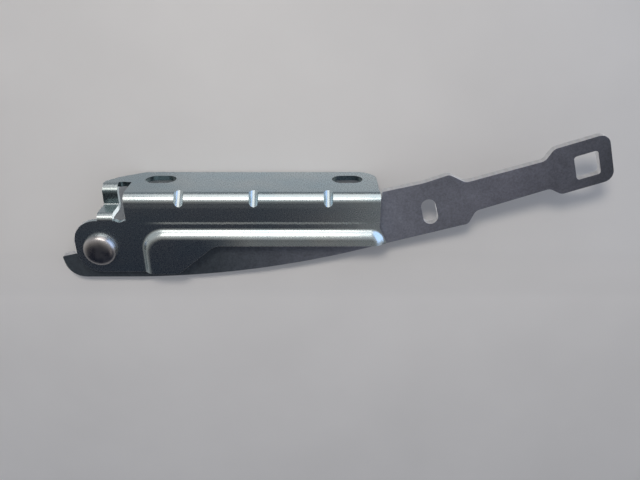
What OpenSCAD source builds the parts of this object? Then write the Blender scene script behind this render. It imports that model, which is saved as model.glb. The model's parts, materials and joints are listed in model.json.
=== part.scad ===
// Bonnet hinge: a pressed steel bracket that bolts to the car body, and a flat steel arm that carries
// the bonnet. One domed rivet joins them, and the arm swings up behind the bracket's web.
// Millimetres. +Z is up and the underside of the flange lies on Z = 0. The web's outer face looks along -Y.
// X = 0, Y = 0 is the middle of the two flange slots, and the arm reaches from the pivot along -X.
// Outlines are drawn with a, the distance from the pivot towards the arm's free end, h, the height above
// the underside of the flange, and d, the depth behind the web's outer face.

/* [Bracket sheet] */
// Thickness of the pressed sheet
sheet_t = 2.5; // [2:0.1:3]
// Inside radius of the long bend between flange and web
bend_r = 2; // [1.5:0.1:2.6]
// Height of the pivot above the underside of the flange
pivot_h = 29; // [28:0.5:32]

/* [Flange] */
// Depth of the flange from the web's outer face to its free edge
flange_depth = 32; // [30:0.5:38]
// Distance from the pivot to the far end of the flange
flange_end = 138.5; // [134:0.5:139]
// Radius of the flange's far corner
flange_corner_r = 9.5; // [3:0.5:14]
// Distance from the strip's near edge to where the slanted near end leaves the flange's free edge
flange_slant_l = 18; // [16:0.5:22]
// How far the slanted end falls back before it turns in to the strip
flange_slant_w = 6.5; // [5:0.5:7]
// Distance from the strip's near edge to that turn
flange_nose_l = 7; // [6:0.5:8]
// Length of flange beside the strip's bend
flange_nose_foot = 1.5; // [1.3:0.1:2]
// Radius of the end corners of the slanted end
flange_slant_r = 3; // [2:0.5:3.5]
// Radius of the turn in the slanted end
flange_nose_r = 8; // [5:0.5:10]
// Width of a mounting slot
slot_w = 10.5; // [8:0.1:11]
// Length of a mounting slot, end to end
slot_l = 15.6; // [13:0.1:18]
// Distance between the middles of the two slots
slot_spacing = 95; // [88:0.5:97]
// Distance from the pivot to the middle of the near slot
slot_start = 28.5; // [28:0.5:32]
// Distance from the web's outer face to the middle of the slots
slot_setback = 21.3; // [19:0.1:23]

/* [Web and ear] */
// Distance from the pivot to the near end of the web
web_start = 14.6; // [14:0.1:16]
// Distance from the pivot to the far end of the web
web_end = 139; // [136:0.5:142]
// Distance from the pivot to the ear's outer end
ear_reach = 12.3; // [11.8:0.1:13]
// Distance from the pivot up to the ear's upper edge
ear_rise = 13; // [12.5:0.1:14]
// Radius of the ear's two outer corners
ear_corner_r = 11.5; // [10:0.5:12]
// Rise of the ear's lower edge from the strip to its outer corner
ear_foot_rise = 0.5; // [0.3:0.1:1]

/* [Raised pad] */
// Distance from the pivot to the foot of the pad's near wall
pad_start = 20.2; // [19:0.1:22]
// Distance from the pivot to the foot of the pad's far wall
pad_end = 142; // [141:0.1:143]
// Height of the foot of the pad's lower wall
pad_foot_h = 17.4; // [16.8:0.1:18.4]
// How far the pad stands out from the web
pad_rise = 2.6; // [2.3:0.1:3.6]
// Slope of the pad's walls
pad_wall_angle = 45; // [38:1:48]
// Inside radius of the bends of the pad's walls
pad_bend_r = 2.5; // [1.5:0.1:2.9]
// Radius of the pad's near corner, at the foot of the wall
pad_near_r = 12.5; // [10:0.5:13]
// Radius of the pad's far corner, at the foot of the wall
pad_far_r = 7.4; // [7.2:0.1:9]
// Height of the lip that the pad shrinks to
lip_h = 26.2; // [25.2:0.1:27]
// Distance from the pivot to where the lip begins
lip_start = 57.4; // [54:0.5:70]
// Distance from the pivot to the end of the pad's full height
pad_top_end = 38.3; // [36:0.5:44]
// Top of the pad at its full height
pad_top_h = 42.1; // [40:0.1:43]
// Radius of the pad's far top corner
pad_top_r = 6; // [3:0.5:7]
// Radius of the inside corner where the pad's slope meets the lip
lip_start_r = 8; // [4:0.5:10]
// How far the lip's end stands past the foot of the far wall
lip_overrun = 1; // [0.6:0.1:1.5]
// Height above the foot of the pad at which the web's far end turns out to the lip's end
lip_foot_rise = 0.3; // [0.1:0.1:0.4]
// Radius of the lip's end corner
lip_end_r = 0.8; // [0.5:0.1:1.2]
// Radius of the trimmed corners between ear and pad
trim_r = 2; // [1:0.1:3]

/* [Stepped strip and relief] */
// Distance from the pivot to the near edge of the strip
strip_start = 0.6; // [0:0.1:1.2]
// Width of the strip
strip_w = 7.6; // [7:0.1:8]
// Depth of the strip's upright part behind the web's outer face
strip_setback = 12.7; // [12:0.1:13.2]
// Height of the underside of the strip's shelf
shelf_h = 10.2; // [9.4:0.1:10.6]
// Inside radius of the bend between flange and strip
strip_foot_r = 2.2; // [1.6:0.1:2.4]
// Inside radius of the strip's two upper bends
strip_bend_r = 0.8; // [0.6:0.1:1.2]
// Height of the round end of the relief slot beside the strip
relief_h = 14.4; // [14:0.1:16]
// Radius of the relief hole in the flange
relief_hole_r = 2.8; // [2.6:0.1:3]
// Distance from the strip to the middle of that hole
relief_hole_at = 2.4; // [2.3:0.1:3]
// How far the hole reaches into the flange past the strip's bend
relief_reach = 0.6; // [0.5:0.1:1]

/* [Bend darts] */
// Distance from the pivot to the first dart
dart_start = 41.3; // [38:0.1:44]
// Distance from one dart to the next
dart_pitch = 36.2; // [30:0.1:38]
// Number of darts
dart_count = 3; // [1:1:3]
// Radius of a dart's groove
dart_r = 2.3; // [1.8:0.1:2.4]
// Depth of a dart's groove at the middle of the bend
dart_depth = 2.6; // [2:0.1:2.8]
// How deep a dart's rib is rooted in the sheet, from the sheet's outer face
dart_root = 1.5; // [1:0.1:1.8]

/* [Arm] */
// Thickness of the arm
arm_t = 4; // [3:0.1:5]
// Radius of the arm's eye round the pivot
eye_r = 11.5; // [11:0.1:12]
// Distance from the pivot up to the arm's upper edge
arm_rise = 18.6; // [17:0.1:20]
// Distance from the pivot to the tip of the stop toe
toe_reach = 22.2; // [20:0.1:24]
// Height of the toe's lower edge at its tip, above the pivot
toe_h = 6.6; // [6:0.1:8]
// Rise of the toe's lower edge from the eye to the tip
toe_rise = 2.4; // [1:0.1:3]
// How far the toe's end leans back at its top
toe_lean = 2; // [1:0.1:3]
// Radius of the toe's tip
toe_tip_r = 0.8; // [0.5:0.1:1.2]
// Radius of the toe's outer corner
toe_corner_r = 10; // [6:0.5:10.5]
// Distance from the pivot to where the upper edge starts to fall
fall_start = 10; // [0:1:20]
// Radius of the long falling upper edge
fall_r = 460; // [440:5:480]
// Distance from the pivot to where the falling edge runs on straight
fall_straight = 130; // [120:1:140]
// Distance from the pivot to the end of the falling edge
fall_end = 183.5; // [180:0.5:186]
// Drop of the step from the falling edge to the neck
step_drop = 7; // [5:0.5:8]
// Length of that step, along the arm
step_l = 3; // [2:0.5:5]
// Radius of the corners of the step and of the blade's lowest point
step_r = 3; // [2:0.5:3.5]
// Slope of the arm's outer end below the horizontal
tip_angle = 18; // [16:0.5:20]
// Distance from the pivot to the end of the arm, along its outer end
tip_reach = 250; // [246:0.5:256]
// Length of the end pad
tip_pad_l = 25.5; // [24:0.5:28]
// Width of the end pad
tip_pad_w = 24; // [20:0.5:28]
// Distance of the outer end's middle line from the pivot
tip_offset = 32; // [30:0.5:34]
// Width of the neck where it meets the blade
neck_w_in = 16.8; // [15:0.1:18]
// Width of the neck where it meets the end pad
neck_w_out = 14.9; // [12:0.1:15.5]
// Distance from the pivot to the lower corner of the neck, along the arm's outer end
neck_start = 181.5; // [178:0.5:184]
// Length of the flare from the neck to the end pad
flare_l = 5; // [4:0.5:7]
// Radius of the corners of the neck and the flare
neck_r = 4; // [3:0.5:4.5]
// Radius of the end pad's outer corners
tip_corner_r = 5; // [3:0.5:6]
// Distance from the pivot to the lowest point of the blade
belly_at = 171.6; // [170:0.1:173]
// Depth of that point below the underside of the flange
belly_drop = 8.6; // [7.5:0.1:9]
// Distance from the shoulder to the middle of the blade's lower curve
belly_curve_at = 20; // [16:0.5:22]
// Depth of the blade's lower curve there, below the underside of the flange
belly_curve_drop = 4.4; // [4:0.1:5]
// Radius of the blade's lower curve
belly_curve_r = 40; // [20:1:50]
// Gap between the bracket's far end and the shoulder, and between the flange and the closed arm
closed_gap = 0.9; // [0.7:0.1:1.2]
// Height of the shoulder's lower corner above the underside of the flange
shoulder_h = 0.2; // [0:0.1:0.5]
// Length of the shoulder above the flange
shoulder_l = 13; // [10:0.5:15]
// Rise of the hidden lower edge over the shoulder's length, which clears the darts
shoulder_rise = 3; // [2.5:0.1:4]
// Radius of the small corners of the shoulder
shoulder_r = 0.8; // [0.5:0.1:1]
// Radius of the two bends of the hidden lower edge
hidden_edge_r = 10; // [6:0.5:12]

/* [Arm openings] */
// Distance from the pivot to the middle of the arm's slot
arm_slot_at = 163.7; // [160:0.1:166]
// Height of the middle of the arm's slot above the underside of the flange
arm_slot_h = 10.7; // [9:0.1:12]
// Width of the arm's slot
arm_slot_w = 7.2; // [6:0.1:9]
// Length of the arm's slot, end to end
arm_slot_l = 13.3; // [11:0.1:15]
// Lean of the arm's slot from upright
arm_slot_lean = 15; // [10:1:20]
// Length of the square hole, along the arm
square_l = 11.3; // [9:0.1:12]
// Width of the square hole, across the arm
square_w = 12; // [9:0.1:13]
// Distance from the end of the arm to the middle of the square hole
square_inset = 11.7; // [10:0.1:13]
// Distance of the square hole above the middle line of the arm's outer end
square_rise = 0.9; // [0:0.1:1.2]
// Corner radius of the square hole
square_corner_r = 1.4; // [0.5:0.1:2]

/* [Pivot] */
// Diameter of the rivet's shank
rivet_d = 9; // [8:0.1:10]
// Diameter of the rivet's domed head
head_d = 16.8; // [15:0.1:18]
// Height of the rivet's domed head
head_h = 4.2; // [3.6:0.1:6]
// Fullness of the dome: 2 is an ellipse, more has a fuller shoulder
head_fullness = 3; // [2:0.1:3.4]
// Radius of the flat spot at the crown of the dome
crown_r = 0.6; // [0.4:0.1:1]
// Diameter of the rivet's formed tail
tail_d = 14; // [13:0.1:16]
// Height of the rivet's formed tail
tail_h = 3; // [2:0.1:4]
// Wall of the bush pressed into the arm
bush_wall = 1.5; // [1:0.1:2]
// Thickness of the bush's flange
bush_flange_t = 0.8; // [0.6:0.1:1.2]
// Diameter of the bush's flange, the spacer and the tail washer
washer_d = 19; // [17:0.1:21]
// Thickness of the spacer between ear and bush
spacer_t = 1.2; // [0.8:0.1:2]
// Thickness of the washer under the rivet's tail
tail_washer_t = 1.5; // [1:0.1:2]
// Radial clearance of the rivet in the bush
run_fit = 0.05; // [0.03:0.01:0.1]
// Radial clearance of parts that don't turn on each other
seat_fit = 0.02; // [0.01:0.01:0.05]
// End play of the arm on each side
end_play = 0.1; // [0.05:0.01:0.2]

/* [Hidden] */
$fn = 64;
// Longer than any piece, for cuts that run right through
through = 400;
// Corner rounding of outlines, in straight steps
corner_steps = 8;
// Straight steps along the arm's falling edge
fall_steps = 20;
// Straight steps down the rivet's dome
dome_steps = 18;
// How far a bent stretch of sheet runs on straight past its bend, and a cut past the face it goes through
lap = 0.2;
// Where the flat sheet then begins, from the end of the bend
seam = lap / 2;

// Places across the hinge, from the web's outer face backwards
pivot_x = slot_start + slot_spacing / 2;
web_y = -slot_setback;
spacer_y = web_y + sheet_t;
bush_y = spacer_y + spacer_t + end_play;
arm_y = bush_y + bush_flange_t;
tail_washer_y = arm_y + arm_t + end_play;
tail_y = tail_washer_y + tail_washer_t;

// Bends
bend_ro = bend_r + sheet_t;
pad_bend_ro = pad_bend_r + sheet_t;
strip_foot_ro = strip_foot_r + sheet_t;
strip_bend_ro = strip_bend_r + sheet_t;
pad_wall_l = (pad_rise - (pad_bend_r + pad_bend_ro) * (1 - cos(pad_wall_angle))) / sin(pad_wall_angle);
pad_run = (pad_bend_r + pad_bend_ro) * sin(pad_wall_angle) + pad_wall_l * cos(pad_wall_angle);
strip_end = strip_start + strip_w;
// Depth at which the strip's bend runs out into the flange
strip_bend_d = strip_setback + strip_foot_ro;
strip_top = shelf_h + strip_bend_ro;
ear_top = pivot_h + ear_rise;
// Height that the pad's upright walls run up to before they are trimmed, clear of the outline's top
pad_clear_h = max(ear_top, pad_top_h) + lap;
rivet_r = rivet_d / 2;
bush_r = rivet_r + run_fit + bush_wall;

// Outline helpers
function xy(p) = [p[0], p[1]];
function unit(v) = v / norm(v);

// The arc that rounds corner q between its neighbours p and s with radius r
function corner_arc(p, q, s, r) =
    let (
        to_p = unit(p - q),
        to_s = unit(s - q),
        half = acos(to_p * to_s) / 2,
        centre = q + unit(to_p + to_s) * r / sin(half),
        first = q + to_p * r / tan(half) - centre,
        last = q + to_s * r / tan(half) - centre,
        from = atan2(first[1], first[0]),
        turn = (atan2(last[1], last[0]) - from + 540) % 360 - 180
    )
    [for (i = [0 : corner_steps]) let (w = from + turn * i / corner_steps) centre + r * [cos(w), sin(w)]];

// A closed outline from corners given as [x, y, rounding radius]
function rounded(corners) =
    let (n = len(corners))
    [
        for (i = [0 : n - 1])
            let (q = corners[i], p = corners[(i + n - 1) % n], s = corners[(i + 1) % n])
            each q[2] == 0 ? [xy(q)] : corner_arc(xy(p), xy(q), xy(s), q[2])
    ];

// A point on the arm's sloping outer end: e along it from the pivot and n across it
function tip(e, n, r) = [
    e * cos(tip_angle) + n * sin(tip_angle),
    pivot_h - e * sin(tip_angle) + n * cos(tip_angle),
    r
];

// Height of the arm's long falling edge at distance a
function fall_h(a) = pivot_h + arm_rise - fall_r + sqrt(fall_r * fall_r - (a - fall_start) * (a - fall_start));
// Sets an outline in a and h upright as a plate of thickness t with its front face at y
module stand(y, t)
    translate([pivot_x, y + t, 0])
        mirror([1, 0, 0])
            rotate([90, 0, 0])
                linear_extrude(t)
                    children();

// Lays an outline in a and d down as a plate of thickness t with its underside at z
module lay(z, t)
    translate([pivot_x, web_y, z])
        mirror([1, 0, 0])
            linear_extrude(t)
                children();

// Extrudes a section in d and h along the hinge, between two distances from the pivot
module run_along(a0, a1)
    translate([pivot_x - a1, web_y, 0])
        rotate([90, 0, 90])
            linear_extrude(a1 - a0)
                children();

// Turns children about the pivot's axis: their Z becomes depth behind the web's outer face
module on_pivot_axis(y)
    translate([pivot_x, y, pivot_h])
        rotate([-90, 0, 0])
            children();

// Mounting bracket

// The web, the ear and the pad as one flat outline
module web_outline()
    difference() {
        polygon(rounded([
            [web_start, bend_ro + seam, 0],
            [web_end, bend_ro + seam, 0],
            [web_end, pad_foot_h + lip_foot_rise, 0],
            [pad_end + lip_overrun, lip_h, lip_end_r],
            [lip_start, lip_h, lip_start_r],
            [pad_top_end, pad_top_h, pad_top_r],
            [pad_start + pad_run, pad_top_h, trim_r],
            [pad_start, ear_top, trim_r],
            [-ear_reach, ear_top, ear_corner_r],
            [-ear_reach, strip_top + ear_foot_rise, ear_corner_r],
            [strip_start, strip_top + seam, 0],
            [web_start, strip_top + seam, 0]
        ]));
        relief_slot();
    }

// The gap that frees the strip from the web
module relief_slot() {
    gap = web_start - strip_end;
    translate([strip_end, 0])
        square([gap, relief_h - gap / 2]);
    translate([strip_end + gap / 2, relief_h - gap / 2])
        circle(gap / 2);
}

// The pad's outline, drawn in by inset from the foot of its walls and open at the top
module pad_outline(inset) {
    near_r = pad_near_r - inset;
    far_r = pad_far_r - inset;
    near_a = pad_start + inset;
    far_a = pad_end - inset;
    foot_h = pad_foot_h + inset;
    polygon([
        [near_a, foot_h + near_r],
        [near_a + near_r, foot_h],
        [far_a - far_r, foot_h],
        [far_a, foot_h + far_r],
        [far_a, pad_clear_h],
        [near_a, pad_clear_h]
    ]);
    translate([near_a + near_r, foot_h + near_r])
        circle(near_r);
    translate([far_a - far_r, foot_h + far_r])
        circle(far_r);
}

// Section of the pad's wall: x runs inwards from the foot of the wall, y towards the viewer
module wall_section() {
    half_turn = tan(pad_wall_angle / 2);
    polygon(rounded([
        [-lap, 0, 0],
        [pad_bend_r * half_turn, 0, pad_bend_r],
        [pad_run - pad_bend_ro * half_turn, pad_rise, pad_bend_ro],
        [pad_run + lap, pad_rise, 0],
        [pad_run + lap, pad_rise - sheet_t, 0],
        [pad_run - pad_bend_r * half_turn, pad_rise - sheet_t, pad_bend_r],
        [pad_bend_ro * half_turn, -sheet_t, pad_bend_ro],
        [-lap, -sheet_t, 0]
    ]));
}

// One rounded corner of the pad's wall with radius r, turned from one angle round the corner's middle
module wall_corner(middle_a, r, from)
    translate([pivot_x - middle_a, web_y, pad_foot_h + r])
        rotate([90, 0, 0])
            rotate([0, 0, from])
                rotate_extrude(angle = 90)
                    translate([r, 0])
                        mirror([1, 0])
                            wall_section();

// The pad's walls: the near and far walls, the lower wall and its two corners
module pad_walls() {
    near_a = pad_start + pad_near_r;
    near_h = pad_foot_h + pad_near_r;
    far_a = pad_end - pad_far_r;
    far_h = pad_foot_h + pad_far_r;
    wall_corner(near_a, pad_near_r, -90);
    wall_corner(far_a, pad_far_r, 180);
    run_along(near_a, far_a)
        translate([0, pad_foot_h])
            rotate(90)
                wall_section();
    translate([pivot_x - pad_start, web_y, near_h])
        linear_extrude(pad_clear_h - near_h)
            rotate(180)
                wall_section();
    translate([pivot_x - pad_end, web_y, far_h])
        linear_extrude(pad_clear_h - far_h)
            mirror([0, 1])
                wall_section();
}

// Web, ear, walls and pad, trimmed to one outline
module web() {
    stand(web_y, sheet_t)
        difference() {
            web_outline();
            pad_outline(-seam);
        }
    intersection() {
        pad_walls();
        stand(web_y - pad_rise, pad_rise + sheet_t)
            web_outline();
    }
    stand(web_y - pad_rise, sheet_t)
        intersection() {
            web_outline();
            pad_outline(pad_run + seam);
        }
}

// The flange seen from above, without its slots
module flange_outline()
    difference() {
        polygon(rounded([
            [strip_start, bend_ro + seam, 0],
            [flange_end, bend_ro + seam, 0],
            [flange_end, flange_depth, flange_corner_r],
            [strip_start + flange_slant_l, flange_depth, flange_slant_r],
            [strip_start + flange_nose_l, flange_depth - flange_slant_w, flange_nose_r],
            [strip_start, strip_bend_d + flange_nose_foot, flange_slant_r]
        ]));
        translate([-through / 2, -through])
            square([web_start + through / 2, through + strip_bend_d + seam]);
        translate([strip_end + relief_hole_at, strip_bend_d + relief_reach - relief_hole_r])
            circle(relief_hole_r);
    }

module flange()
    lay(0, sheet_t)
        flange_outline();

// The long bend between flange and web
module long_bend()
    run_along(web_start, web_end)
        polygon(rounded([
            [bend_ro + lap, 0, 0],
            [0, 0, bend_ro],
            [0, bend_ro + lap, 0],
            [sheet_t, bend_ro + lap, 0],
            [sheet_t, sheet_t, bend_r],
            [bend_ro + lap, sheet_t, 0]
        ]));

// The stepped strip that carries the ear: up from the flange, forward over the shelf and up to the ear
module stepped_strip() {
    flange_d = strip_bend_d + lap;
    run_along(strip_start, strip_end)
        polygon(rounded([
            [flange_d, 0, 0],
            [strip_setback, 0, strip_foot_ro],
            [strip_setback, shelf_h, strip_bend_r],
            [0, shelf_h, strip_bend_ro],
            [0, strip_top + lap, 0],
            [sheet_t, strip_top + lap, 0],
            [sheet_t, shelf_h + sheet_t, strip_bend_r],
            [strip_setback + sheet_t, shelf_h + sheet_t, strip_bend_ro],
            [strip_setback + sheet_t, sheet_t, strip_foot_r],
            [flange_d, sheet_t, 0]
        ]));
}

// A cylinder laid across the long bend at distance a, on the line that a dart's punch follows
module across_bend(a, r) {
    offset_in = bend_ro - (bend_ro - dart_depth + dart_r) / sqrt(2);
    translate([pivot_x - a, web_y + offset_in, offset_in])
        rotate([45, 0, 0])
            cylinder(r = r, h = 8 * bend_ro, center = true);
}

// The rib that a dart raises in the inside corner
module dart_rib(a) {
    rib_r = dart_r + sheet_t;
    intersection() {
        across_bend(a, rib_r);
        translate([pivot_x - a - rib_r, web_y + dart_root, dart_root])
            cube([2 * rib_r, 4 * bend_ro, 4 * bend_ro]);
    }
}

module mounting_bracket()
    color("silver")
        difference() {
            union() {
                flange();
                long_bend();
                web();
                stepped_strip();
                for (i = [0 : dart_count - 1])
                    dart_rib(dart_start + i * dart_pitch);
            }
            for (i = [0 : dart_count - 1])
                across_bend(dart_start + i * dart_pitch, dart_r);
            for (i = [0, 1])
                lay(-lap, sheet_t + 2 * lap)
                    translate([slot_start + i * slot_spacing, slot_setback])
                        slot_outline(slot_l, slot_w);
            on_pivot_axis(web_y - lap)
                cylinder(r = rivet_r + seat_fit, h = sheet_t + 2 * lap);
        }

// A slot with round ends, along x
module slot_outline(l, w) {
    square([l - w, w], center = true);
    for (side = [-1, 1])
        translate([side * (l - w) / 2, 0])
            circle(w / 2);
}

// Bonnet arm

// The blade, the toe, the neck and the end pad as one outline
module arm_outline() {
    top = pivot_h + arm_rise;
    foot = sheet_t + closed_gap;
    shoulder = max(flange_end, web_end) + closed_gap;
    pad_in = tip_reach - tip_pad_l;
    half_pad = tip_pad_w / 2;
    half_neck = neck_w_out / 2;
    fall_step = (fall_straight - fall_start) / fall_steps;
    fall_slope = asin((fall_straight - fall_start) / fall_r);
    fall_end_h = fall_h(fall_straight) - (fall_end - fall_straight) * tan(fall_slope);
    polygon(rounded([
        [-eye_r, pivot_h - eye_r, eye_r],
        [-eye_r, pivot_h + toe_h - toe_rise, 0],
        [-toe_reach, pivot_h + toe_h, toe_tip_r],
        [-toe_reach + toe_lean, top, toe_corner_r],
        for (i = [0 : fall_steps])
            let (a = fall_start + i * fall_step)
            [a, fall_h(a), 0],
        [fall_end, fall_end_h, step_r],
        [fall_end + step_l, fall_end_h - step_drop, neck_r],
        tip(pad_in - flare_l, tip_offset + half_neck, neck_r),
        tip(pad_in, tip_offset + half_pad, neck_r),
        tip(tip_reach, tip_offset + half_pad, tip_corner_r),
        tip(tip_reach, tip_offset - half_pad, tip_corner_r),
        tip(pad_in, tip_offset - half_pad, neck_r),
        tip(pad_in - flare_l, tip_offset - half_neck, neck_r),
        tip(neck_start, tip_offset - neck_w_in / 2, neck_r),
        [belly_at, -belly_drop, step_r],
        [shoulder + belly_curve_at, -belly_curve_drop, belly_curve_r],
        [shoulder, shoulder_h, shoulder_r],
        [shoulder, foot, shoulder_r],
        [shoulder - shoulder_l, foot + shoulder_rise, hidden_edge_r],
        [eye_r, pivot_h - eye_r, hidden_edge_r]
    ]));
}

// The square hole near the end of the arm
module square_hole() {
    hole_at = tip(tip_reach - square_inset, tip_offset + square_rise, 0);
    translate(xy(hole_at))
        rotate(-tip_angle)
            polygon(rounded([
                for (corner = [[-1, -1], [1, -1], [1, 1], [-1, 1]])
                    [corner[0] * square_l / 2, corner[1] * square_w / 2, square_corner_r]
            ]));
}

module bonnet_arm()
    color("dimgray")
        difference() {
            stand(arm_y, arm_t)
                arm_outline();
            stand(arm_y - lap, arm_t + 2 * lap) {
                translate([arm_slot_at, arm_slot_h])
                    rotate(90 - arm_slot_lean)
                        slot_outline(arm_slot_l, arm_slot_w);
                square_hole();
            }
            on_pivot_axis(arm_y - lap)
                cylinder(r = bush_r + seat_fit, h = arm_t + 2 * lap);
        }

// Pivot

// Rivet with a domed head in front of the ear and a formed tail behind the washer
module pivot_rivet() {
    shank_l = tail_y - web_y;
    fullness = 2 / head_fullness;
    color("gainsboro")
        on_pivot_axis(web_y)
            rotate_extrude()
                polygon([
                    [0, -head_h],
                    [crown_r, -head_h],
                    for (i = [1 : dome_steps])
                        let (w = 90 * (1 - i / dome_steps))
                        [
                            crown_r + (head_d / 2 - crown_r) * pow(cos(w), fullness),
                            -head_h * pow(sin(w), fullness)
                        ],
                    [rivet_r, 0],
                    [rivet_r, shank_l],
                    [tail_d / 2, shank_l],
                    [tail_d / 2, shank_l + tail_h / 2],
                    [tail_d / 3, shank_l + tail_h],
                    [0, shank_l + tail_h]
                ]);
}

// Flanged bush pressed into the arm
module pivot_bush()
    color("darkgoldenrod")
        on_pivot_axis(bush_y)
            rotate_extrude()
                difference() {
                    union() {
                        square([washer_d / 2, bush_flange_t]);
                        square([bush_r, bush_flange_t + arm_t]);
                    }
                    translate([0, -lap])
                        square([rivet_r + run_fit, bush_flange_t + arm_t + 2 * lap]);
                }

// A plain washer on the rivet's shank
module washer(y, t)
    on_pivot_axis(y)
        difference() {
            cylinder(r = washer_d / 2, h = t);
            translate([0, 0, -lap])
                cylinder(r = rivet_r + seat_fit, h = t + 2 * lap);
        }

module spacer_washer()
    color("gray")
        washer(spacer_y, spacer_t);

module tail_washer()
    color("gray")
        washer(tail_washer_y, tail_washer_t);

mounting_bracket();
bonnet_arm();
pivot_rivet();
pivot_bush();
spacer_washer();
tail_washer();
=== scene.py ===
"""Looks of the bonnet hinge: plated and phosphated steel, a pale table and soft window light."""

import json
import math

import bmesh
import bpy
from mathutils import Matrix, Vector


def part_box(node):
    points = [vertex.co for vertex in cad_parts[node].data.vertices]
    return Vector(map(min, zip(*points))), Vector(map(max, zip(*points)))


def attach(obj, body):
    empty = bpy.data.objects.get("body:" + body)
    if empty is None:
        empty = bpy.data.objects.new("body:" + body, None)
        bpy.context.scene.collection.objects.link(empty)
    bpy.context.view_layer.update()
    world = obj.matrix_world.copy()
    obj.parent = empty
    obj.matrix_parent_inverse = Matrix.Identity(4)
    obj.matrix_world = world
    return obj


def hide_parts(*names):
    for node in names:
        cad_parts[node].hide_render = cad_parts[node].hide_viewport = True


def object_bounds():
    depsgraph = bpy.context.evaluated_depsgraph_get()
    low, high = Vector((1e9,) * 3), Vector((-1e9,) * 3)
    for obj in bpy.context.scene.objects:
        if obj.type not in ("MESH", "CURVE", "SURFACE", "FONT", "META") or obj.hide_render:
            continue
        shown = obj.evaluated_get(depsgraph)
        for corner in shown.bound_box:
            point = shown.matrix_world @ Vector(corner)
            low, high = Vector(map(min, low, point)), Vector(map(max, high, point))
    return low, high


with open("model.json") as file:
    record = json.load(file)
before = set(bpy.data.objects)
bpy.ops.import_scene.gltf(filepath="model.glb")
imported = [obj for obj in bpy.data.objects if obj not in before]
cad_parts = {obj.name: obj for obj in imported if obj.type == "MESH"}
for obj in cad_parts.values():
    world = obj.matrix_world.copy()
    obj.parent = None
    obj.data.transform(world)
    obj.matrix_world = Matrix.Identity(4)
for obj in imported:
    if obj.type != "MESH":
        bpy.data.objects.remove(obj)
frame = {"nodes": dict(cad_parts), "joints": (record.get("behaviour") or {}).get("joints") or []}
cad_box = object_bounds()

MM = 0.001

# Sizes of the hinge that the frame doesn't give by itself
SHEET_T = 2.5 * MM
PAD_RISE = 2.6 * MM

# The view: where the pivot shows in the 640 x 480 image, how far away it is, and how the web is tilted
IMAGE_W = 640
IMAGE_H = 480
FOCAL_PX = 600
SENSOR_W_MM = 36
PIVOT_PX = (100.8, 249.0)
PIVOT_DISTANCE = 0.300
WEB_TILT = math.radians(26.5)
CLIP_START = 0.01
CLIP_END = 20

# The viewer's directions in the hinge's frame: along the view, and the image's right and upper sides
AHEAD = Vector((0, math.cos(WEB_TILT), math.sin(WEB_TILT)))
RIGHT = Vector((-1, 0, 0))
UP = Vector((0, math.sin(WEB_TILT), -math.cos(WEB_TILT)))

bracket_lo, bracket_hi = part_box("mounting_bracket")
arm_lo, arm_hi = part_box("bonnet_arm")
pivot = Vector(frame["joints"][0]["pos_m"])
web_y = bracket_lo.y + PAD_RISE


# Node helpers

def new_material(name):
    """A node material, with its tree and its shader."""
    material = bpy.data.materials.new(name)
    material.use_nodes = True
    tree = material.node_tree
    return material, tree, tree.nodes["Principled BSDF"]


def add_node(tree, kind, inputs=None, **settings):
    """A node of that kind; inputs are values for its sockets, or sockets of other nodes to link."""
    node = tree.nodes.new(kind)
    for key, value in settings.items():
        setattr(node, key, value)
    for key, value in (inputs or {}).items():
        if isinstance(value, bpy.types.NodeSocket):
            tree.links.new(value, node.inputs[key])
        else:
            node.inputs[key].default_value = value
    return node


def noise(tree, stretch, detail=3.0, rough=0.5):
    """Noise over the object, with grains about 1 / stretch metres long in x, y and z."""
    where = add_node(tree, "ShaderNodeTexCoord")
    mapped = add_node(tree, "ShaderNodeMapping", {"Vector": where.outputs["Object"], "Scale": stretch})
    grain = add_node(
        tree, "ShaderNodeTexNoise",
        {"Vector": mapped.outputs["Vector"], "Scale": 1.0, "Detail": detail, "Roughness": rough},
    )
    return grain.outputs["Fac"]


def spread(tree, value, low, high, from_low=0.3, from_high=0.7):
    """Value, from the range that noise keeps to or the one given, spread over low to high."""
    node = add_node(
        tree, "ShaderNodeMapRange",
        {"Value": value, "From Min": from_low, "From Max": from_high, "To Min": low, "To Max": high},
    )
    return node.outputs["Result"]


def smooth_climb(tree, value, start, end):
    """0 up to start and 1 past end, with a smooth climb between them."""
    node = add_node(
        tree, "ShaderNodeMapRange", {"Value": value, "From Min": start, "From Max": end},
        interpolation_type="SMOOTHSTEP",
    )
    return node.outputs["Result"]


def ramp(tree, value, stops):
    """A colour that runs through the stops, (place, colour), as value runs from 0 to 1."""
    node = add_node(tree, "ShaderNodeValToRGB", {"Fac": value})
    elements = node.color_ramp.elements
    elements[0].position = stops[0][0]
    elements[0].color = (*stops[0][1], 1)
    elements[1].position = stops[-1][0]
    elements[1].color = (*stops[-1][1], 1)
    for place, colour in stops[1:-1]:
        element = elements.new(place)
        element.color = (*colour, 1)
    return node.outputs["Color"]


def tint(tree, value, dark, light, low=0.3, high=0.7):
    """A colour that runs from dark to light as value runs from low to high."""
    return ramp(tree, value, [(low, dark), (high, light)])


def combine(tree, operation, first, second):
    """Two numbers or sockets added, multiplied or otherwise combined by a math node."""
    node = add_node(tree, "ShaderNodeMath", {0: first, 1: second}, operation=operation)
    return node.outputs["Value"]


def mix_colours(tree, factor, first, second, blend_type="MIX"):
    """First where factor is 0, and where it is 1 second, or first and second multiplied."""
    inputs = {"Factor": factor, "A": first, "B": second}
    node = add_node(tree, "ShaderNodeMix", inputs, data_type="RGBA", blend_type=blend_type)
    return node.outputs["Result"]


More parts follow.
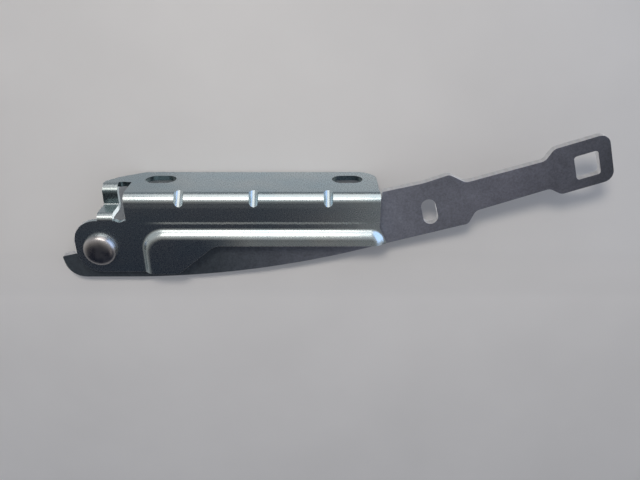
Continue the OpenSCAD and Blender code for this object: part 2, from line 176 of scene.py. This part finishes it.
def place_along(tree, axis):
    """The place on the object along X, Y or Z, in metres."""
    where = add_node(tree, "ShaderNodeTexCoord")
    parts = add_node(tree, "ShaderNodeSeparateXYZ", {"Vector": where.outputs["Object"]})
    return parts.outputs[axis]


def reach_along(tree, coordinates, direction):
    """How far the place or direction in the named coordinates reaches along another direction."""
    where = add_node(tree, "ShaderNodeTexCoord")
    node = add_node(
        tree, "ShaderNodeVectorMath", {0: where.outputs[coordinates], 1: tuple(direction)},
        operation="DOT_PRODUCT",
    )
    return node.outputs["Value"]


def walls_along(tree, axis, wall_lean, face_lean):
    """1 on walls that run along the axis and 0 on faces across it.

    Of a normal of length 1, up to wall_lean lies along the axis on a wall, and face_lean or more on a face.
    """
    where = add_node(tree, "ShaderNodeTexCoord")
    parts = add_node(tree, "ShaderNodeSeparateXYZ", {"Vector": where.outputs["Normal"]})
    lean = add_node(tree, "ShaderNodeMath", {0: parts.outputs[axis]}, operation="ABSOLUTE")
    return spread(tree, lean.outputs["Value"], 1.0, 0.0, wall_lean, face_lean)


# Edge mask, used for wear and for a painted edge highlight
def edges_for_wear_and_highlight(tree, radius, worn_match=0.80, plain_match=0.97, samples=6):
    """1 at edges and 0 on faces and smooth bends, from how well a rounded normal matches the real one."""
    rounded = add_node(tree, "ShaderNodeBevel", {"Radius": radius}, samples=samples)
    real = add_node(tree, "ShaderNodeNewGeometry")
    match = add_node(
        tree, "ShaderNodeVectorMath",
        {0: rounded.outputs["Normal"], 1: real.outputs["Normal"]}, operation="DOT_PRODUCT",
    )
    return spread(tree, match.outputs["Value"], 1.0, 0.0, worn_match, plain_match)


def bump(tree, shader, height, depth=1.0, strength=1.0):
    """Lets height, in units of depth metres, move the shader's normal."""
    node = add_node(tree, "ShaderNodeBump", {"Height": height, "Strength": strength, "Distance": depth})
    tree.links.new(node.outputs["Normal"], shader.inputs["Normal"])


# Zinc plate

# Grains per metre of its clouds, its speckle and its rolling marks
ZINC_CLOUDS = (40, 60, 60)
ZINC_SPECKLE = (1500, 1500, 1500)
ROLLED_GRAIN = (25, 1400, 1400)

# Its colours, dark and light: where it is whole; at the edges, where the plating wears to the metal and is
# painted lighter as the edges' highlight; and painted shade on the cut walls through the flange, where its
# slots fall dark
PLATE_COLOURS = ((0.44, 0.53, 0.57), (0.525, 0.575, 0.585))
BARE_AND_EDGE_HIGHLIGHT_COLOURS = ((0.52, 0.54, 0.55), (0.68, 0.69, 0.69))
SLOT_WALL_SHADE_COLOURS = ((0.10, 0.14, 0.155), (0.17, 0.215, 0.23))
PLATE_ROUGHNESS = (0.23, 0.33)
WORN_EXTRA_ROUGHNESS = 0.14
EDGE_WEAR_AND_HIGHLIGHT_WIDTH = 0.5 * MM

# The step that the press leaves on the web: its height on the web, width, unevenness, ends and depth
MARK_Z = 14.8 * MM
MARK_W = 1.1 * MM
MARK_JITTER = 0.18 * MM
MARK_GRAIN = (1600, 300, 300)
MARK_NEAR_X = pivot.x - 22 * MM
MARK_FAR_X = bracket_lo.x + 2 * MM
MARK_FADE = 12 * MM
MARK_DEPTH = 0.22 * MM

# Heights between which the sheet still curves past its long bend, and along the lip, and how deep
BEND_EASE_Z = (3.5 * MM, 7.5 * MM)
BEND_EASE_DEPTH = 0.16 * MM
LIP_EASE_Z = (20.5 * MM, 29.0 * MM)
LIP_EASE_DEPTH = 1.05 * MM
LIP_NEAR_X = pivot.x - 50 * MM
LIP_FADE = 25 * MM

# Where the flange begins, past its long bend, and how its walls lean, for the painted shade on those walls
FLANGE_Y = (-11 * MM, -9 * MM)
FLANGE_WALL_LEAN = (0.35, 0.7)

# Depths of the sheet's rolling grain, of its fine pits and of the burr along its cut edges
ROLLED_DEPTH = 0.002 * MM
PITTED_DEPTH = 0.010 * MM
BURR_DEPTH = 0.05 * MM


def tool_mark(tree):
    """The faint, uneven step that the press leaves along the web: 0 towards the flange and 1 past it."""
    shift = spread(tree, noise(tree, MARK_GRAIN), -MARK_JITTER, MARK_JITTER)
    height = combine(tree, "ADD", place_along(tree, "Z"), shift)
    step = spread(tree, height, 0.0, 1.0, MARK_Z - MARK_W / 2, MARK_Z + MARK_W / 2)
    along = place_along(tree, "X")
    near = spread(tree, along, 1.0, 0.0, MARK_NEAR_X - MARK_FADE, MARK_NEAR_X)
    far = spread(tree, along, 0.0, 1.0, MARK_FAR_X, MARK_FAR_X + MARK_FADE)
    return combine(tree, "MULTIPLY", step, combine(tree, "MULTIPLY", near, far))


def eased_bends(tree):
    """Height of the sheet where it curves on a little past the long bend and across the lip."""
    height = place_along(tree, "Z")
    bend = combine(tree, "MULTIPLY", smooth_climb(tree, height, *BEND_EASE_Z), BEND_EASE_DEPTH)
    lip = combine(tree, "MULTIPLY", smooth_climb(tree, height, *LIP_EASE_Z), LIP_EASE_DEPTH)
    on_lip = spread(tree, place_along(tree, "X"), 1.0, 0.0, LIP_NEAR_X - LIP_FADE, LIP_NEAR_X)
    return combine(tree, "ADD", bend, combine(tree, "MULTIPLY", lip, on_lip))


def flange_walls(tree):
    """1 on the cut walls through the flange, such as those of its slots, where painted shade goes, and 0
    elsewhere.
    """
    in_flange = spread(tree, place_along(tree, "Y"), 0.0, 1.0, *FLANGE_Y)
    return combine(tree, "MULTIPLY", walls_along(tree, "Z", *FLANGE_WALL_LEAN), in_flange)


def zinc_plate():
    """Bright zinc on pressed sheet: satin, cloudy and finely speckled, with a tool mark, edges where the
    plating wears through that are painted lighter as their highlight, and painted shade on the cut walls of
    the flange.
    """
    material, tree, shader = new_material("zinc_plate")
    shader.inputs["Metallic"].default_value = 1.0
    clouds = noise(tree, ZINC_CLOUDS, detail=2.0)
    speckle = noise(tree, ZINC_SPECKLE, detail=2.0, rough=0.6)
    grain = noise(tree, ROLLED_GRAIN, detail=4.0, rough=0.6)
    # Mask of the edges, for their wear and their painted highlight
    edge_wear_and_highlight = edges_for_wear_and_highlight(tree, EDGE_WEAR_AND_HIGHLIGHT_WIDTH)
    plate = tint(tree, clouds, *PLATE_COLOURS)
    # The edges' colour: metal where the plating wears through, painted lighter as the edges' highlight
    bare_and_edge_highlight = tint(tree, speckle, *BARE_AND_EDGE_HIGHLIGHT_COLOURS)
    # Painted shade: the cut walls through the flange are painted dark, as the slots fall in shade
    slot_wall_shade = tint(tree, speckle, *SLOT_WALL_SHADE_COLOURS)
    surface = mix_colours(tree, flange_walls(tree), mix_colours(tree, edge_wear_and_highlight, plate, bare_and_edge_highlight), slot_wall_shade)
    tree.links.new(surface, shader.inputs["Base Color"])
    satin = spread(tree, speckle, *PLATE_ROUGHNESS)
    rubbed = combine(tree, "MULTIPLY", edge_wear_and_highlight, WORN_EXTRA_ROUGHNESS)
    tree.links.new(combine(tree, "ADD", satin, rubbed), shader.inputs["Roughness"])
    layers = (
        (grain, ROLLED_DEPTH),
        (speckle, PITTED_DEPTH),
        (tool_mark(tree), MARK_DEPTH),
        (edge_wear_and_highlight, BURR_DEPTH),
    )
    relief = eased_bends(tree)
    for layer, depth in layers:
        relief = combine(tree, "ADD", relief, combine(tree, "MULTIPLY", layer, depth))
    bump(tree, shader, relief)
    return material


# Rivet, bush and washers

# For each metal: grains per metre of its clouds, colours from dark to light, and roughness
RIVET_CLOUDS = (250, 250, 250)
RIVET_COLOURS = ((0.37, 0.36, 0.37), (0.47, 0.46, 0.46))
RIVET_ROUGHNESS = (0.25, 0.35)
RIVET_DENT_DEPTH = 0.05 * MM
RIVET_DENT_STRENGTH = 0.2

BRONZE_CLOUDS = (300, 300, 300)
BRONZE_COLOURS = ((0.45, 0.30, 0.14), (0.60, 0.44, 0.22))
BRONZE_ROUGHNESS = (0.28, 0.42)

WASHER_CLOUDS = (400, 400, 400)
WASHER_COLOURS = ((0.42, 0.42, 0.43), (0.56, 0.56, 0.56))
WASHER_ROUGHNESS = (0.25, 0.4)


def cloudy_metal(name, stretch, colours, roughness):
    """A metal whose colour and roughness vary with the same clouds, with its tree, shader and clouds."""
    material, tree, shader = new_material(name)
    shader.inputs["Metallic"].default_value = 1.0
    clouds = noise(tree, stretch)
    tree.links.new(tint(tree, clouds, *colours), shader.inputs["Base Color"])
    tree.links.new(spread(tree, clouds, *roughness), shader.inputs["Roughness"])
    return material, tree, shader, clouds


def rivet_steel():
    """The rivet's plating: darker than the sheet's, with fine dents from the forming tool."""
    material, tree, shader, clouds = cloudy_metal(
        "rivet_steel", RIVET_CLOUDS, RIVET_COLOURS, RIVET_ROUGHNESS
    )
    bump(tree, shader, clouds, RIVET_DENT_DEPTH, RIVET_DENT_STRENGTH)
    return material


def bush_bronze():
    """Plain, cloudy bronze."""
    return cloudy_metal("bush_bronze", BRONZE_CLOUDS, BRONZE_COLOURS, BRONZE_ROUGHNESS)[0]


def washer_steel():
    """Plain plated washers, duller than the sheet."""
    return cloudy_metal("washer_steel", WASHER_CLOUDS, WASHER_COLOURS, WASHER_ROUGHNESS)[0]


# Phosphate

# Colour of the coat along the arm, from the toe's end, 0, to the end pad, 1, with painted light and shade:
# painted shade where the arm lies under the bracket by the toe, a painted sheen on the open blade, and
# darker again towards the end pad
COAT_LIGHT_AND_SHADE_COLOURS = (
    (0.28, (0.10, 0.12, 0.14)),
    (0.60, (0.285, 0.30, 0.355)),
    (0.70, (0.215, 0.225, 0.265)),
    (0.82, (0.225, 0.23, 0.272)),
    (1.00, (0.105, 0.11, 0.126)),
)

# Grains per metre, and how they shade the coat
COAT_SPECKLE = (1100, 1100, 1100)
COAT_SPECKLE_SHADES = ((0.82, 0.82, 0.82), (1.18, 1.18, 1.18))
COAT_CLOUDS = (90, 90, 90)
COAT_CLOUD_SHADES = ((0.88, 0.88, 0.88), (1.12, 1.12, 1.12))
COAT_ROUGHNESS = (0.36, 0.52)
COAT_DEPTH = 0.04 * MM
COAT_STRENGTH = 0.35

# The arm's bare sheared edges, and how metallic the coat and those edges are
SHEAR_GRAIN = (500, 60, 500)
SHEAR_COLOURS = ((0.50, 0.50, 0.51), (0.62, 0.62, 0.63))
ARM_WALL_LEAN = (0.35, 0.6)
COAT_METALLIC = 0.6
SHEAR_METALLIC = 0.2


def phosphated_steel():
    """Dark grey phosphate with painted shade under the bracket by the toe and a painted sheen on the open
    blade, with speckle, soft clouds and uncoated cut edges.
    """
    material, tree, shader = new_material("phosphated_steel")
    along = spread(tree, place_along(tree, "X"), 0.0, 1.0, arm_hi.x, arm_lo.x)
    # Painted light and shade along the arm: dark under the bracket by the toe, palest on the open blade
    coat = ramp(tree, along, COAT_LIGHT_AND_SHADE_COLOURS)
    speckle = noise(tree, COAT_SPECKLE, rough=0.65)
    clouds = noise(tree, COAT_CLOUDS)
    coat = mix_colours(tree, 1.0, coat, tint(tree, speckle, *COAT_SPECKLE_SHADES), "MULTIPLY")
    coat = mix_colours(tree, 1.0, coat, tint(tree, clouds, *COAT_CLOUD_SHADES), "MULTIPLY")
    edges = walls_along(tree, "Y", *ARM_WALL_LEAN)
    shear = tint(tree, noise(tree, SHEAR_GRAIN), *SHEAR_COLOURS)
    tree.links.new(mix_colours(tree, edges, coat, shear), shader.inputs["Base Color"])
    tree.links.new(spread(tree, speckle, *COAT_ROUGHNESS), shader.inputs["Roughness"])
    metallic = spread(tree, edges, COAT_METALLIC, SHEAR_METALLIC, 0.0, 1.0)
    tree.links.new(metallic, shader.inputs["Metallic"])
    bump(tree, shader, speckle, COAT_DEPTH, COAT_STRENGTH)
    return material


# Pieces

# Rounding of the edges that are sharper than SHARP_ANGLE, and what is merged into one flat face first
EDGE_ROUND = 0.22 * MM
EDGE_SEGMENTS = 2
SHARP_ANGLE = math.radians(28)
FLAT_ANGLE = math.radians(0.4)
FLAT_WEIGHT = 100
MERGE = 0.002 * MM


def dress(node, body, material):
    """A copy of a CAD node with rounded edges and smooth bends, which stands for the node."""
    source = frame["nodes"][node]
    mesh = bpy.data.meshes.new(node + "_dressed")
    shape = bmesh.new()
    shape.from_mesh(source.data)
    bmesh.ops.remove_doubles(shape, verts=shape.verts, dist=MERGE)
    bmesh.ops.dissolve_limit(
        shape, angle_limit=FLAT_ANGLE, verts=shape.verts, edges=shape.edges, use_dissolve_boundaries=False
    )
    for face in shape.faces:
        face.smooth = True
    shape.to_mesh(mesh)
    shape.free()
    mesh.materials.clear()
    mesh.materials.append(material)
    piece = bpy.data.objects.new(node + "_dressed", mesh)
    bpy.context.scene.collection.objects.link(piece)
    rounding = piece.modifiers.new("edges", "BEVEL")
    rounding.width = EDGE_ROUND
    rounding.segments = EDGE_SEGMENTS
    rounding.limit_method = "ANGLE"
    rounding.angle_limit = SHARP_ANGLE
    flats = piece.modifiers.new("flats", "WEIGHTED_NORMAL")
    flats.mode = "FACE_AREA"
    flats.weight = FLAT_WEIGHT
    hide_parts(node)
    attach(piece, body)


dress("mounting_bracket", "bracket", zinc_plate())
dress("bonnet_arm", "arm", phosphated_steel())
dress("pivot_rivet", "bracket", rivet_steel())
dress("pivot_bush", "arm", bush_bronze())
washer_finish = washer_steel()
dress("spacer_washer", "bracket", washer_finish)
dress("tail_washer", "bracket", washer_finish)


# Camera

def make_camera():
    """The camera that sees the pivot, on the ear's outer face, at its place in the image."""
    camera = bpy.data.cameras.new("camera")
    camera.sensor_fit = "HORIZONTAL"
    camera.sensor_width = SENSOR_W_MM
    camera.lens = SENSOR_W_MM * FOCAL_PX / IMAGE_W
    camera.clip_start = CLIP_START
    camera.clip_end = CLIP_END
    aside = (PIVOT_PX[0] - IMAGE_W / 2) / FOCAL_PX * PIVOT_DISTANCE
    below = (PIVOT_PX[1] - IMAGE_H / 2) / FOCAL_PX * PIVOT_DISTANCE
    pivot_face = Vector((pivot.x, web_y, pivot.z))
    place = pivot_face - aside * RIGHT + below * UP - PIVOT_DISTANCE * AHEAD
    holder = bpy.data.objects.new("camera", camera)
    bpy.context.scene.collection.objects.link(holder)
    turn = Matrix((RIGHT, UP, -AHEAD)).transposed().to_4x4()
    holder.matrix_world = Matrix.Translation(place) @ turn
    bpy.context.scene.camera = holder


make_camera()


# Table

TABLE_SIZE = 6.0

# How far the table's bend reaches to both sides of the arm's back edge, its steps, and the arm's room
TABLE_BEND = 12 * MM
TABLE_BEND_STEPS = 24
SWING_ROOM = 1 * MM

# The paint from the image's bottom, 0, to its top, 1, over TABLE_FADE to both sides of the pivot, with
# painted light: palest below the bend, to make up for the light lost where the table leans away, and paler
# towards the image's top
TABLE_FADE = 130 * MM
TABLE_PAINTED_LIGHT_COLOURS = (
    (0.00, (0.82, 0.81, 0.80)),
    (0.385, (0.845, 0.835, 0.825)),
    (0.475, (0.70, 0.695, 0.69)),
    (1.00, (0.74, 0.735, 0.73)),
)
TABLE_BLOTCHES = (14, 14, 14)
TABLE_BLOTCH_SHADES = ((0.97, 0.97, 0.97), (1.03, 1.03, 1.03))
TABLE_ROUGHNESS = 0.6


def table_paint():
    """The pale table's paint, with painted light: palest below the bend, to make up for the light lost
    where the table leans away, and paler towards the image's top.

    It is seen from its upper side only, so that views from under it show the hinge.
    """
    material, tree, shader = new_material("table_paint")
    middle = pivot.dot(UP)
    up = reach_along(tree, "Object", UP)
    climb = spread(tree, up, 0.0, 1.0, middle - TABLE_FADE, middle + TABLE_FADE)
    # Painted light: paler below the bend and towards the image's top
    paint = ramp(tree, climb, TABLE_PAINTED_LIGHT_COLOURS)
    blotches = tint(tree, noise(tree, TABLE_BLOTCHES), *TABLE_BLOTCH_SHADES)
    tree.links.new(mix_colours(tree, 1.0, paint, blotches, "MULTIPLY"), shader.inputs["Base Color"])
    shader.inputs["Roughness"].default_value = TABLE_ROUGHNESS
    side = add_node(tree, "ShaderNodeNewGeometry")
    clear = add_node(tree, "ShaderNodeBsdfTransparent")
    mixed = add_node(
        tree, "ShaderNodeMixShader",
        {0: side.outputs["Backfacing"], 1: shader.outputs["BSDF"], 2: clear.outputs["BSDF"]},
    )
    tree.links.new(mixed.outputs["Shader"], tree.nodes["Material Output"].inputs["Surface"])
    return material


def make_table():
    """The table that the hinge lies on, from the flange's free edge to the arm's back edge.

    Below that edge it bends away and runs on behind the arm, so that the arm swings clear of it.
    It casts no shadow and isn't mirrored in the metal, so that light from behind reaches the hinge.
    """
    edge = Vector((0, bracket_hi.y, SHEET_T))
    rest = Vector((0, arm_hi.y + SWING_ROOM, arm_hi.z))
    slope = (rest - edge).normalized()
    swing = Vector((0, 0, 1))
    bend_start = rest - TABLE_BEND * slope
    bend_end = rest + TABLE_BEND * swing
    half = TABLE_SIZE / 2
    profile = [edge - half * slope]
    for step in range(TABLE_BEND_STEPS + 1):
        t = step / TABLE_BEND_STEPS
        profile.append((1 - t) ** 2 * bend_start + 2 * t * (1 - t) * rest + t ** 2 * bend_end)
    profile.append(bend_end + half * swing)
    side = Vector((half, 0, 0))
    corners = [point + reach for point in profile for reach in (-side, side)]
    faces = [(2 * i, 2 * i + 1, 2 * i + 3, 2 * i + 2) for i in range(len(profile) - 1)]
    mesh = bpy.data.meshes.new("table")
    mesh.from_pydata(corners, [], faces)
    mesh.update()
    if mesh.polygons[0].normal.dot(AHEAD) > 0:
        mesh.flip_normals()
    mesh.shade_smooth()
    mesh.materials.append(table_paint())
    table = bpy.data.objects.new("table", mesh)
    bpy.context.scene.collection.objects.link(table)
    table.visible_shadow = False
    table.visible_glossy = False


make_table()


# Light

# How far the room's pale side leans from the image's top to its right
ROOM_LEAN = math.radians(6)

# Colour of the room from its dark side, 0, to its pale side's end, 1
ROOM_COLOURS = (
    (0.08, (0.009, 0.014, 0.029)),
    (0.15, (0.034, 0.037, 0.050)),
    (0.22, (0.145, 0.138, 0.135)),
    (0.30, (0.31, 0.295, 0.28)),
    (0.39, (0.48, 0.465, 0.45)),
    (0.50, (0.62, 0.61, 0.60)),
    (0.60, (0.60, 0.60, 0.60)),
    (0.90, (0.34, 0.36, 0.38)),
    (1.00, (0.18, 0.19, 0.20)),
)

# Where the ground takes over from the room: how far from the viewer and how far down a direction points
GROUND_DEPTH = (0.0, 0.35)
GROUND_HEIGHT = (0.0, -0.4)

# The ground in the metal, the light on dull surfaces, and what shows behind everything
GROUND_COLOUR = (0.32, 0.32, 0.33, 1)
FILL_COLOUR = (0.318, 0.333, 0.370, 1)
BACKDROP_COLOUR = (0.62, 0.62, 0.63, 1)

# Colours of the lights
LAMP_COLOUR = (1.0, 0.93, 0.84)
TOP_COLOUR = (1.0, 0.94, 0.89)
SKY_COLOUR = (0.40, 0.60, 1.0)
LEFT_COLOUR = (1.0, 0.97, 0.90)
LOW_COLOUR = (1.0, 0.92, 0.86)
REAR_COLOUR = (0.97, 0.98, 1.0)


def window(name, aside, off_axis, distance, size, colour, level, in_metal=True, on_table=False):
    """A soft area light as bright as level, where 1 is white; size is its width and height in metres.

    It stands off_axis degrees from the viewer, turned aside degrees from the image's top to its right.
    It shows in the metal if it is in_metal, and lights the table and all that is dull if it is on_table.
    """
    width, height = size
    lean = math.radians(off_axis)
    turn = math.radians(aside)
    over = math.cos(turn) * UP + math.sin(turn) * RIGHT
    towards = math.sin(lean) * over - math.cos(lean) * AHEAD
    lamp = bpy.data.lights.new(name, "AREA")
    lamp.shape = "RECTANGLE"
    lamp.size = width
    lamp.size_y = height
    lamp.color = colour
    lamp.energy = level * math.pi * width * height
    holder = bpy.data.objects.new(name, lamp)
    bpy.context.scene.collection.objects.link(holder)
    holder.visible_camera = False
    holder.visible_glossy = in_metal
    holder.visible_diffuse = on_table
    holder.location = (cad_box[0] + cad_box[1]) / 2 + distance * towards
    holder.rotation_mode = "QUATERNION"
    holder.rotation_quaternion = (-towards).to_track_quat("-Z", "Y")


def make_world():
    """A dim room, pale towards the image's top and dark towards its bottom, over a pale ground.

    Dull surfaces get an even fill from it, and behind everything it shows a plain backdrop.
    """
    pale_side = math.cos(ROOM_LEAN) * UP + math.sin(ROOM_LEAN) * RIGHT
    world = bpy.data.worlds.new("room")
    bpy.context.scene.world = world
    world.use_nodes = True
    tree = world.node_tree
    height = reach_along(tree, "Generated", pale_side)
    room = ramp(tree, spread(tree, height, 0.0, 1.0, -1.0, 1.0), ROOM_COLOURS)
    behind = smooth_climb(tree, reach_along(tree, "Generated", AHEAD), *GROUND_DEPTH)
    below = smooth_climb(tree, height, *GROUND_HEIGHT)
    room = mix_colours(tree, combine(tree, "MULTIPLY", behind, below), room, GROUND_COLOUR)
    rays = add_node(tree, "ShaderNodeLightPath")
    lit = mix_colours(tree, rays.outputs["Is Diffuse Ray"], room, FILL_COLOUR)
    seen = mix_colours(tree, rays.outputs["Is Camera Ray"], lit, BACKDROP_COLOUR)
    tree.links.new(seen, tree.nodes["Background"].inputs["Color"])


window(
    "room_lamp", aside=-24, off_axis=16, distance=0.6, size=(0.15, 0.12), colour=LAMP_COLOUR, level=22,
    in_metal=False, on_table=True,
)
window(
    "ceiling_lamp", aside=-36, off_axis=19.5, distance=0.6, size=(0.42, 0.22), colour=LAMP_COLOUR, level=3.7
)
window("top_window", aside=4, off_axis=51, distance=1.1, size=(0.95, 1.05), colour=TOP_COLOUR, level=1.2)
window("right_window", aside=76, off_axis=60, distance=1.1, size=(1.1, 1.2), colour=SKY_COLOUR, level=1.6)
window("left_card", aside=-112, off_axis=84, distance=1.0, size=(0.6, 0.5), colour=LEFT_COLOUR, level=0.12)
window("low_card", aside=164, off_axis=52, distance=0.9, size=(0.26, 0.35), colour=LOW_COLOUR, level=0.32)
window(
    "rear_window", aside=30, off_axis=160, distance=1.1, size=(1.2, 1.0), colour=REAR_COLOUR, level=0.9,
    on_table=True,
)
make_world()

scene = bpy.context.scene
scene.view_settings.view_transform = "Standard"
